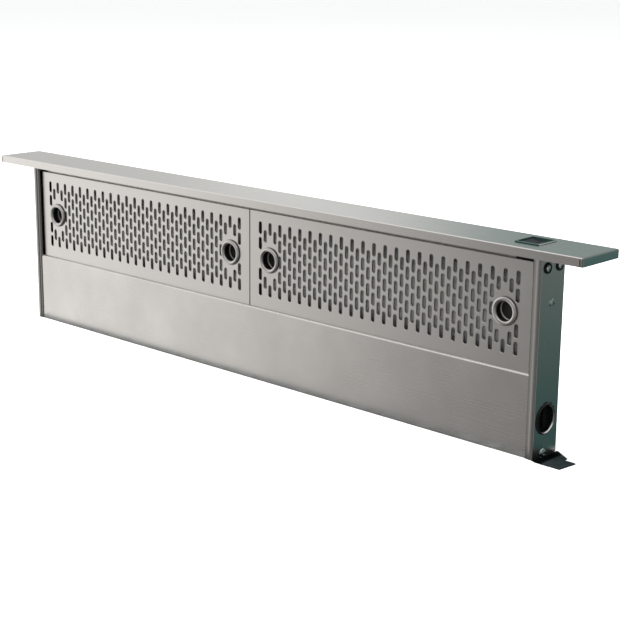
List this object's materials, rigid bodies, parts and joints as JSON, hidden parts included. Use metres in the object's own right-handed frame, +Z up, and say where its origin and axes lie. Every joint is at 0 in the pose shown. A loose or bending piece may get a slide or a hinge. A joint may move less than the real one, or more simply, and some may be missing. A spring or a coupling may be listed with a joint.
{
  "type": "downdraft vent",
  "caption": "Pop-up cooktop downdraft vent: a thin steel chimney with two perforated grille cassettes and an overhanging cap rises from a housing on a lead screw.",
  "frame": {"origin": "on the cabinet floor under the feet, midway between the ends and midway front to back; the countertop is the plane z = 0.35 m", "axes": "+X along the vent towards the end with the switch and the knob, +Y to the back, +Z up; the grilles face -Y"},
  "size_m": [0.914, 0.15, 0.5664],
  "materials": {
    "brushed_steel": "stainless steel, brushed lengthwise, satin",
    "galvanised_steel": "galvanised sheet, dull grey",
    "filter_aluminium": "layered aluminium mesh in an aluminium frame, matt grey",
    "zinc_plate": "zinc plated steel, semi-gloss",
    "dark_steel": "dark grey coated steel, satin",
    "black_plastic": "black moulded plastic, satin",
    "white_plastic": "natural white nylon",
    "rubber": "black rubber strip",
    "bronze": "sintered bronze"
  },
  "bodies": {
    "housing": {"housing_front": "galvanised_steel", "housing_back": "galvanised_steel", "housing_end_left": "galvanised_steel", "housing_end_right": "galvanised_steel", "bottom_pan": "galvanised_steel", "duct_collar": "galvanised_steel", "flap_pin": "zinc_plate", "guide_rail_left": "zinc_plate", "guide_rail_right": "zinc_plate", "lift_motor": "zinc_plate", "gearbox": "dark_steel", "motor_bracket": "galvanised_steel", "limit_switch_upper": "black_plastic", "limit_switch_lower": "black_plastic", "junction_box": "galvanised_steel", "junction_box_lid": "galvanised_steel", "cable_gland": "black_plastic", "counter_flange": "dark_steel", "wiper_front": "rubber", "wiper_back": "rubber", "support_leg_left": "galvanised_steel", "support_leg_right": "galvanised_steel"},
    "chimney": {"cap": "brushed_steel", "side_channel_left": "brushed_steel", "side_channel_right": "brushed_steel", "front_panel": "brushed_steel", "back_panel": "galvanised_steel", "top_rail": "galvanised_steel", "centre_mullion": "galvanised_steel", "bottom_crossbar": "galvanised_steel", "drive_nut": "bronze", "guide_shoe_left": "white_plastic", "guide_shoe_right": "white_plastic", "switch_bezel": "brushed_steel", "rocker_pin": "zinc_plate", "switch_body": "black_plastic", "knob_bezel": "dark_steel", "speed_control": "zinc_plate"},
    "lead_screw": {"lead_screw": "zinc_plate", "shaft_collar": "zinc_plate"},
    "rocker": {"rocker_switch": "black_plastic"},
    "knob": {"speed_knob": "black_plastic"},
    "cassette_left": {"grille_panel_left": "brushed_steel", "finger_ring_left_outer": "brushed_steel", "finger_ring_left_inner": "brushed_steel", "filter_frame_left": "filter_aluminium", "filter_mesh_left": "filter_aluminium"},
    "cassette_right": {"grille_panel_right": "brushed_steel", "finger_ring_right_outer": "brushed_steel", "finger_ring_right_inner": "brushed_steel", "filter_frame_right": "filter_aluminium", "filter_mesh_right": "filter_aluminium"},
    "flap": {"backdraft_flap": "galvanised_steel"}
  },
  "joints": [
    {"name": "lift", "type": "slide", "parent": "housing", "child": "chimney", "axis": [0, 0, 1], "range_m": [-0.204, 0]},
    {"name": "screw_turn", "type": "hinge", "parent": "housing", "child": "lead_screw", "pos_m": [0, 0.008, 0.2], "axis": [0, 0, 1], "continuous": true},
    {"name": "rocker_tilt", "type": "hinge", "parent": "chimney", "child": "rocker", "pos_m": [0.381, 0, 0.562], "axis": [0, 1, 0], "range_deg": [-6, 6], "stiffness_Nm_per_rad": 0.3},
    {"name": "knob_turn", "type": "hinge", "parent": "chimney", "child": "knob", "pos_m": [0.4, -0.0015, 0.389], "axis": [1, 0, 0], "range_deg": [0, 270]},
    {"name": "cassette_left_pull", "type": "slide", "parent": "chimney", "child": "cassette_left", "axis": [0, -1, 0], "range_m": [0, 0.04]},
    {"name": "cassette_right_pull", "type": "slide", "parent": "chimney", "child": "cassette_right", "axis": [0, -1, 0], "range_m": [0, 0.04]},
    {"name": "flap_swing", "type": "hinge", "parent": "housing", "child": "flap", "pos_m": [-0.19, -0.039, 0.10495], "axis": [-1, 0, 0], "range_deg": [0, 75]}
  ],
  "couplings": [
    {"joint": "screw_turn", "follows": "lift", "rad_per_m": -785.4}
  ]
}
